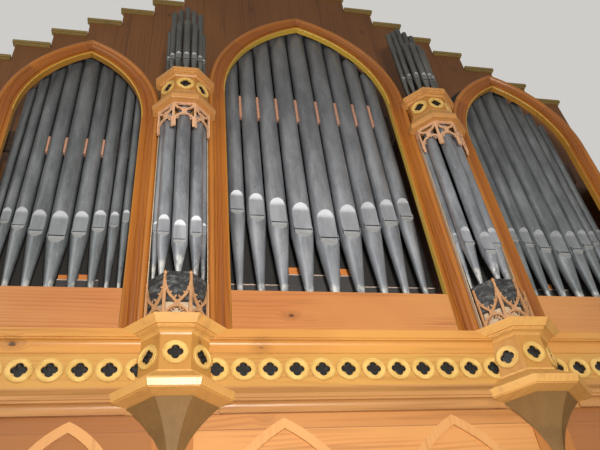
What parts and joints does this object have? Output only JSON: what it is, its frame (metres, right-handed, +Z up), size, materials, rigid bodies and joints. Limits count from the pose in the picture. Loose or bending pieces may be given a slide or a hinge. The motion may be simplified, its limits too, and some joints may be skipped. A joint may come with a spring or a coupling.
{
  "type": "pipe organ",
  "caption": "Pipe organ in a pine Gothic case with pointed-arch bays of front pipes, half-octagonal pipe towers, a quatrefoil frieze and a stepped back screen.",
  "frame": {"origin": "centre of the case footprint on the floor", "axes": "+X to the right seen from the front, +Y to the back, +Z up"},
  "size_m": [5.12, 1.114, 7.993],
  "materials": {
    "pine": "oiled pine",
    "pine_frame": "darker oiled pine",
    "pine_pale": "pale turned and carved pine",
    "brown_board": "brown stained boards",
    "olive_moulding": "dull olive stained moulding",
    "dark_wood": "dark grey wood",
    "pipe_metal": "dull grey pipe metal"
  },
  "bodies": {
    "root": {"plinth": "pine_frame", "lower_panels": "pine", "lower_stiles": "pine", "bottom_rail": "pine", "blind_arches_centre": "pine_pale", "blind_arches_side": "pine_pale", "base_returns": "pine", "base_sides": "pine", "base_back": "pine", "deck": "pine", "lower_moulding": "pine", "frieze_board": "pine", "frieze_roundels": "pine_pale", "upper_moulding": "pine", "sill_boards": "pine", "toe_boards": "dark_wood", "rack_boards": "dark_wood", "case_partitions": "dark_wood", "upper_sides": "pine", "pipe_rails": "pine_pale", "centre_arch_posts": "pine_frame", "centre_arch_head": "pine_frame", "left_arch_posts": "pine_frame", "left_arch_head": "pine_frame", "right_arch_posts": "pine_frame", "right_arch_head": "pine_frame", "centre_pipes": "pipe_metal", "left_pipes": "pipe_metal", "right_pipes": "pipe_metal", "tower_corbels": "pine_frame", "tower_bases": "pine", "tower_roundels": "pine_pale", "tower_shafts": "pine", "toe_blocks": "dark_wood", "tower_galleries": "pine", "tower_pipes": "pipe_metal", "tower_cheeks": "pine_pale", "tower_backs": "dark_wood", "pipe_shades": "pine_pale", "tower_crowns": "pine", "crown_pipes": "pipe_metal", "screen_boards": "brown_board", "screen_caps": "olive_moulding", "screen_battens": "brown_board", "dark_panels": "dark_wood"}
  },
  "joints": []
}
